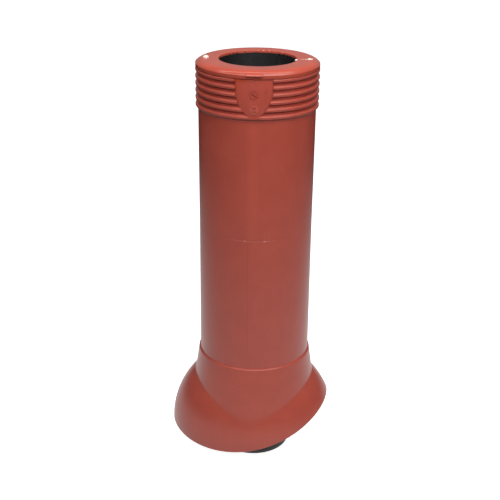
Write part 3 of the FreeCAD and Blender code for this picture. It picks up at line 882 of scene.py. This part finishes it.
SHELL_MARKS_AND_HIGHLIGHT = [  # colour, share, then (axis, centre, half width, softness) in mm
    (linear(214, 128, 112), 0.22, [("Z", 358, 0.35, 0.5), ("X", 0, 26, 8)]),
    (linear(240, 196, 186), 0.4, [("Z", 358.2, 0.5, 0.4), ("X", -10.6, 0.7, 0.4)]),
    (linear(240, 196, 186), 0.4, [("Z", 358.0, 0.5, 0.4), ("X", 16.6, 1.4, 0.6)]),
    (linear(148, 58, 42), 0.3, [("Z", 268, 84, 6), ("X", -6.2, 0.3, 0.5)]),
    # painted highlight: a lighter band down the middle of the pipe, above the seam
    (linear(206, 92, 74), 0.3, [("Z", 442, 78, 8), ("X", -0.5, 3, 7)]),
    (linear(186, 70, 40), 0.75, [("Z", 581, 4.2, 3.5), ("X", -19, 6.5, 5)]),
    (linear(186, 70, 40), 0.6, [("Z", 572, 6, 5), ("X", -23.4, 1.6, 2)]),
]


def lay_marks_and_highlight(tree, base):
    """Lay over the shell's front colour: lighter marks along the seam, a dark line down the pipe, orange
    patches by the shield, and a painted highlight down the pipe's middle above the seam.
    """
    place = tree.nodes.new("ShaderNodeTexCoord")
    split = tree.nodes.new("ShaderNodeSeparateXYZ")
    link(tree, place, "Object", split, "Vector")
    front = near(tree, split, "Y", -90, 70, 10)
    for colour, share, bands in SHELL_MARKS_AND_HIGHLIGHT:
        masks = [near(tree, split, *band) for band in bands] + [front]
        spot = product(tree, masks, share)
        mix = add_node(tree, "ShaderNodeMix", data_type="RGBA")
        tree.links.new(spot.outputs[0], mix.inputs[0])
        tree.links.new(base.outputs[2], mix.inputs[6])
        mix.inputs[7].default_value = colour
        base = mix
    return base


def disc_tone(tree, base):
    """The raised disc is painted a little paler than the shield round it."""
    place = tree.nodes.new("ShaderNodeTexCoord")
    flat = add_node(tree, "ShaderNodeVectorMath", operation="MULTIPLY")
    link(tree, place, "Object", flat, 0)
    flat.inputs[1].default_value = (1, 0, 1)
    away = add_node(tree, "ShaderNodeVectorMath", operation="DISTANCE")
    link(tree, flat, 0, away, 0)
    away.inputs[1].default_value = (0, 0, DISC_HEIGHT * MM)
    mask = add_node(tree, "ShaderNodeMapRange")
    mask.inputs["From Min"].default_value = (DISC_RADIUS + 0.2) * MM
    mask.inputs["From Max"].default_value = (DISC_RADIUS - 0.8) * MM
    mask.inputs["To Max"].default_value = 0.3
    link(tree, away, "Value", mask, "Value")
    return mixed_colour(tree, mask, 0, base, linear(214, 116, 100))


def red_plastic(name, dark, light, rough_low, rough_high, bumps, marks_and_highlight):
    material = bpy.data.materials.new(name)
    material.use_nodes = True
    tree = material.node_tree
    shader = tree.nodes["Principled BSDF"]
    shader.inputs["IOR"].default_value = 1.5
    surface = use_group(tree, moulded_surface, Grain_scale=1100.0, Wave_scale=30.0, Grain_share=0.06)
    marks = use_group(tree, handling_marks, Scratch_amount=0.1, Speck_amount=0.07)
    tone = add_node(tree, "ShaderNodeMapRange")
    tone.inputs["From Min"].default_value = 0.3
    tone.inputs["From Max"].default_value = 0.7
    link(tree, surface, "Mottle", tone, "Value")
    base = mixed_colour(tree, tone, 0, dark, light)
    # the shell's front marks, with a painted highlight among them
    if marks_and_highlight:
        base = disc_tone(tree, lay_marks_and_highlight(tree, base))
    pale = linear(222, 150, 138)
    scratched = mixed_colour(tree, marks, "Scratches", base, pale)
    dusty = mixed_colour(tree, marks, "Specks", scratched, pale)
    tree.links.new(dusty.outputs[2], shader.inputs["Base Color"])
    rough = add_node(tree, "ShaderNodeMapRange")
    rough.inputs["To Min"].default_value = rough_low
    rough.inputs["To Max"].default_value = rough_high
    link(tree, surface, "Mottle", rough, "Value")
    link(tree, rough, 0, shader, "Roughness")
    bump = add_node(tree, "ShaderNodeBump", Strength=bumps, Distance=0.0003)
    link(tree, surface, "Height", bump, "Height")
    link(tree, bump, "Normal", shader, "Normal")
    return material


shell_red = red_plastic("brick_red_shell", linear(183, 79.5, 64), linear(191, 84.5, 69), 0.27, 0.35, 0.25, True)
ring_red = red_plastic("brick_red_ring", linear(185, 79, 61), linear(192, 84, 66), 0.20, 0.26, 0.10, False)
print("materials", shell_red.name, ring_red.name)

# %% [markdown]
# ## Black duct and pale foam
# The duct is black pipe with drawn streaks along its length. The foam is a skin over small bubbles:
# a cell pattern gives dark pores, and a noise stains it from cream to grey.

# %% Black duct


def black_pipe():
    material = bpy.data.materials.new("black_duct")
    material.use_nodes = True
    tree = material.node_tree
    shader = tree.nodes["Principled BSDF"]
    surface = use_group(tree, moulded_surface, Grain_scale=700.0, Wave_scale=60.0, Grain_share=0.4)
    marks = use_group(tree, handling_marks, Scratch_amount=0.5, Speck_amount=0.35)
    base = mixed_colour(tree, surface, "Mottle", linear(13, 12, 14), linear(24, 23, 25))
    worn = mixed_colour(tree, marks, "Scratches", base, linear(92, 90, 92))
    tree.links.new(worn.outputs[2], shader.inputs["Base Color"])
    rough = add_node(tree, "ShaderNodeMapRange")
    rough.inputs["To Min"].default_value = 0.42
    rough.inputs["To Max"].default_value = 0.6
    link(tree, surface, "Mottle", rough, "Value")
    link(tree, rough, 0, shader, "Roughness")
    bump = add_node(tree, "ShaderNodeBump", Strength=0.4, Distance=0.0004)
    link(tree, surface, "Height", bump, "Height")
    link(tree, bump, "Normal", shader, "Normal")
    return material


def pale_foam():
    material = bpy.data.materials.new("pale_foam")
    material.use_nodes = True
    tree = material.node_tree
    shader = tree.nodes["Principled BSDF"]
    shader.inputs["Subsurface Weight"].default_value = 0.15
    shader.inputs["Subsurface Scale"].default_value = 0.002
    place = tree.nodes.new("ShaderNodeTexCoord")
    cells = add_node(tree, "ShaderNodeTexVoronoi", Scale=420.0)
    link(tree, place, "Object", cells, "Vector")
    stain = object_noise(tree, place, 55, detail=4)
    base = mixed_colour(tree, stain, "Fac", linear(226, 218, 200), linear(250, 247, 240))
    pore = add_node(tree, "ShaderNodeMapRange")
    pore.inputs["From Min"].default_value = 0.28
    pore.inputs["From Max"].default_value = 0.05
    pore.inputs["To Max"].default_value = 0.45
    link(tree, cells, "Distance", pore, "Value")
    pored = mixed_colour(tree, pore, 0, base, linear(176, 160, 138))
    tree.links.new(pored.outputs[2], shader.inputs["Base Color"])
    rough = add_node(tree, "ShaderNodeMapRange")
    rough.inputs["To Min"].default_value = 0.6
    rough.inputs["To Max"].default_value = 0.9
    link(tree, stain, "Fac", rough, "Value")
    link(tree, rough, 0, shader, "Roughness")
    bump = add_node(tree, "ShaderNodeBump", Strength=0.6, Distance=0.0008)
    link(tree, cells, "Distance", bump, "Height")
    link(tree, bump, "Normal", shader, "Normal")
    return material


duct_black, foam_pale = black_pipe(), pale_foam()
print("materials", duct_black.name, foam_pale.name)

# %% [markdown]
# ## Putting the pieces on the part
# Each piece takes its material, stands for its node and rides on the one body that this part has.

# %% Dress the part
for piece, material, slot, node in (
        (shell, shell_red, "shell", "outer_shell"), (ring, ring_red, "ring", "top_ring"),
        (duct, duct_black, "duct", "inner_pipe"), (foam, foam_pale, "foam", "insulation")):
    piece.data.materials.clear()
    piece.data.materials.append(material)
    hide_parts(node)
    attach(piece, "root")
    print(piece.name, "stands for", node)

# %% [markdown]
# ## Floor and light
# The photograph's light can be read from the pipe. The tops of the ribs are bright and the grooves
# under them nearly black, so a lamp hangs close above and little light comes up from below. The
# pipe's left is darker than its right, so the key light stands a little to the right of the camera.
# A grey sheen on both edges widens towards the foot: that is a white sheet on the floor, near the
# pipe only. The floor is therefore pale to the camera everywhere, bright in reflections near the pipe,
# and to other rays a grey sheet that ends in a dark table. A long narrow lamp right above gives the
# thin line on the crown, and a pale screen behind gives the grey sheen on the ring. Colours are shown without a film curve, as in a catalogue.

# %% Floor
FLOOR_GLOW, MIRROR_GLOW = 1.05, 0.88
SHEET_EDGE, SHEET_END = 0.4, 1.5


def add_floor():
    bpy.ops.object.select_all(action="DESELECT")
    bpy.ops.mesh.primitive_grid_add(x_subdivisions=8, y_subdivisions=8, size=60)
    floor = bpy.context.object
    floor.name = floor.data.name = "studio_floor"
    material = bpy.data.materials.new("pale_floor")
    material.use_nodes = True
    tree = material.node_tree
    shader = tree.nodes["Principled BSDF"]
    place = tree.nodes.new("ShaderNodeTexCoord")
    cloud = object_noise(tree, place, 0.6, detail=2)
    pale = mixed_colour(tree, cloud, "Fac", (0.90, 0.90, 0.90, 1), (0.94, 0.94, 0.94, 1))
    far = add_node(tree, "ShaderNodeVectorMath", operation="LENGTH")
    link(tree, place, "Object", far, 0)
    sheet = add_node(tree, "ShaderNodeMapRange")
    sheet.inputs["From Min"].default_value = SHEET_END
    sheet.inputs["From Max"].default_value = SHEET_EDGE
    link(tree, far, "Value", sheet, "Value")
    rays = tree.nodes.new("ShaderNodeLightPath")
    table = mixed_colour(tree, sheet, 0, (0.03, 0.03, 0.03, 1), (0.45, 0.45, 0.45, 1))
    seen = mixed_colour(tree, rays, "Is Camera Ray", table, pale)
    tree.links.new(seen.outputs[2], shader.inputs["Base Color"])
    tree.links.new(pale.outputs[2], shader.inputs["Emission Color"])
    mirrored = add_node(tree, "ShaderNodeMath", operation="MULTIPLY")
    link(tree, sheet, 0, mirrored, 0)
    mirrored.inputs[1].default_value = MIRROR_GLOW
    gloss = add_node(tree, "ShaderNodeMath", operation="MULTIPLY")
    link(tree, rays, "Is Glossy Ray", gloss, 0)
    link(tree, mirrored, 0, gloss, 1)
    glow = add_node(tree, "ShaderNodeMath", operation="MULTIPLY_ADD")
    link(tree, rays, "Is Camera Ray", glow, 0)
    glow.inputs[1].default_value = FLOOR_GLOW
    link(tree, gloss, 0, glow, 2)
    link(tree, glow, 0, shader, "Emission Strength")
    shader.inputs["Roughness"].default_value = 0.9
    shader.inputs["Specular IOR Level"].default_value = 0.1
    floor.data.materials.append(material)
    return floor


add_floor()
print("sheet ends at", SHEET_END)

# %% Lamps and sky


def add_area(name, place, aim, width, height, power):
    data = bpy.data.lights.new(name, "AREA")
    data.shape = "RECTANGLE"
    data.size, data.size_y, data.energy = width, height, power
    lamp = bpy.data.objects.new(name, data)
    bpy.context.scene.collection.objects.link(lamp)
    direction = (Vector(aim) - Vector(place)).to_track_quat("-Z", "Y")
    lamp.matrix_world = Matrix.Translation(Vector(place)) @ direction.to_matrix().to_4x4()
    return lamp


def set_sky(strength):
    world = bpy.data.worlds.new("studio_sky")
    bpy.context.scene.world = world
    world.use_nodes = True
    tree = world.node_tree
    sky = tree.nodes["Background"]
    sky.inputs["Color"].default_value = (1, 1, 1, 1)
    rays = tree.nodes.new("ShaderNodeLightPath")
    shown = add_node(tree, "ShaderNodeMapRange")
    shown.inputs["To Min"].default_value = strength
    link(tree, rays, "Is Camera Ray", shown, "Value")
    link(tree, shown, 0, sky, "Strength")


SKY_STRENGTH = 0.11
set_sky(SKY_STRENGTH)
add_area("strip_above", (0, -0.03, 0.9), (0, -0.03, 0.5), 0.6, 0.03, 0.55)
add_area("key_right", (0.3, -0.98, 1.726), (0, 0, 0.45), 2.0, 1.2, 28.5)
add_area("bar_left", (-0.95, -0.62, 1.7), (0, 0, 0.5), 1.2, 0.4, 3.4)
add_area("bar_right", (1.15, -0.5, 1.7), (0, 0, 0.5), 0.8, 0.4, 2.8)
add_area("screen_behind", (0, 2.2, 1.5), (0, 0, 0.6), 4, 2, 4)
bpy.context.scene.view_settings.view_transform = "Standard"
print("lights", [item.name for item in bpy.data.lights])
